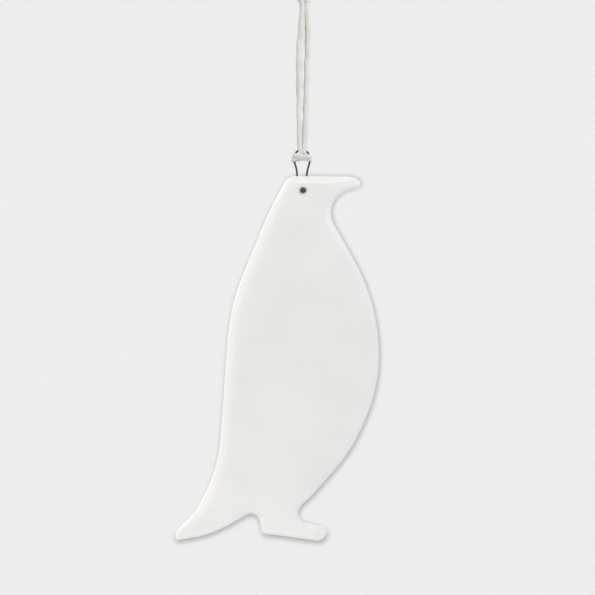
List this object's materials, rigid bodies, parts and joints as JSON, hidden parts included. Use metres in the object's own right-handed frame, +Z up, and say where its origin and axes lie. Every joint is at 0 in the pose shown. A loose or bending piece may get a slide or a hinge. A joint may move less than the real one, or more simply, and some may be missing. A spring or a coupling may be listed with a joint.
{
  "type": "penguin hanging ornament",
  "caption": "Flat white glazed porcelain penguin with a dot eye, hung by a fired-in wire eye from a hitched loop of narrow cotton tape with a top knot.",
  "frame": {"origin": "the hanging point, between the two strands of tape just under the top knot", "axes": "+Z up, -Y out of the glazed front, +X the way the beak points"},
  "size_m": [0.0614, 0.006, 0.1771],
  "materials": {
    "porcelain": "clear gloss glaze over white porcelain",
    "underglaze_black": "black underglaze colour",
    "dark_wire": "oxidised in the kiln, dull",
    "cotton_tape": "soft matt cotton, slightly creased"
  },
  "bodies": {
    "knot": {"cord_top_knot": "cotton_tape", "cord_tails": "cotton_tape"},
    "strands": {"cord_left_leg": "cotton_tape", "cord_right_leg": "cotton_tape"},
    "hitch": {"cord_hitch": "cotton_tape"},
    "penguin": {"porcelain_body": "porcelain", "eye_spot": "underglaze_black", "wire_eye": "dark_wire"}
  },
  "joints": [
    {"name": "cord_twist", "type": "hinge", "parent": "knot", "child": "strands", "pos_m": [0.0004, 0, 0.0005], "axis": [0, 0, 1], "range_deg": [-180, 180], "stiffness_Nm_per_rad": 0.000013},
    {"name": "penguin_swing", "type": "hinge", "parent": "strands", "child": "hitch", "pos_m": [0, 0, -0.0429], "axis": [1, 0, 0], "range_deg": [-90, 90], "deforming": ["cord_left_leg", "cord_right_leg"]},
    {"name": "penguin_tilt", "type": "hinge", "parent": "hitch", "child": "penguin", "pos_m": [0, 0, -0.0465], "axis": [0, 1, 0], "range_deg": [-15, 15]}
  ]
}
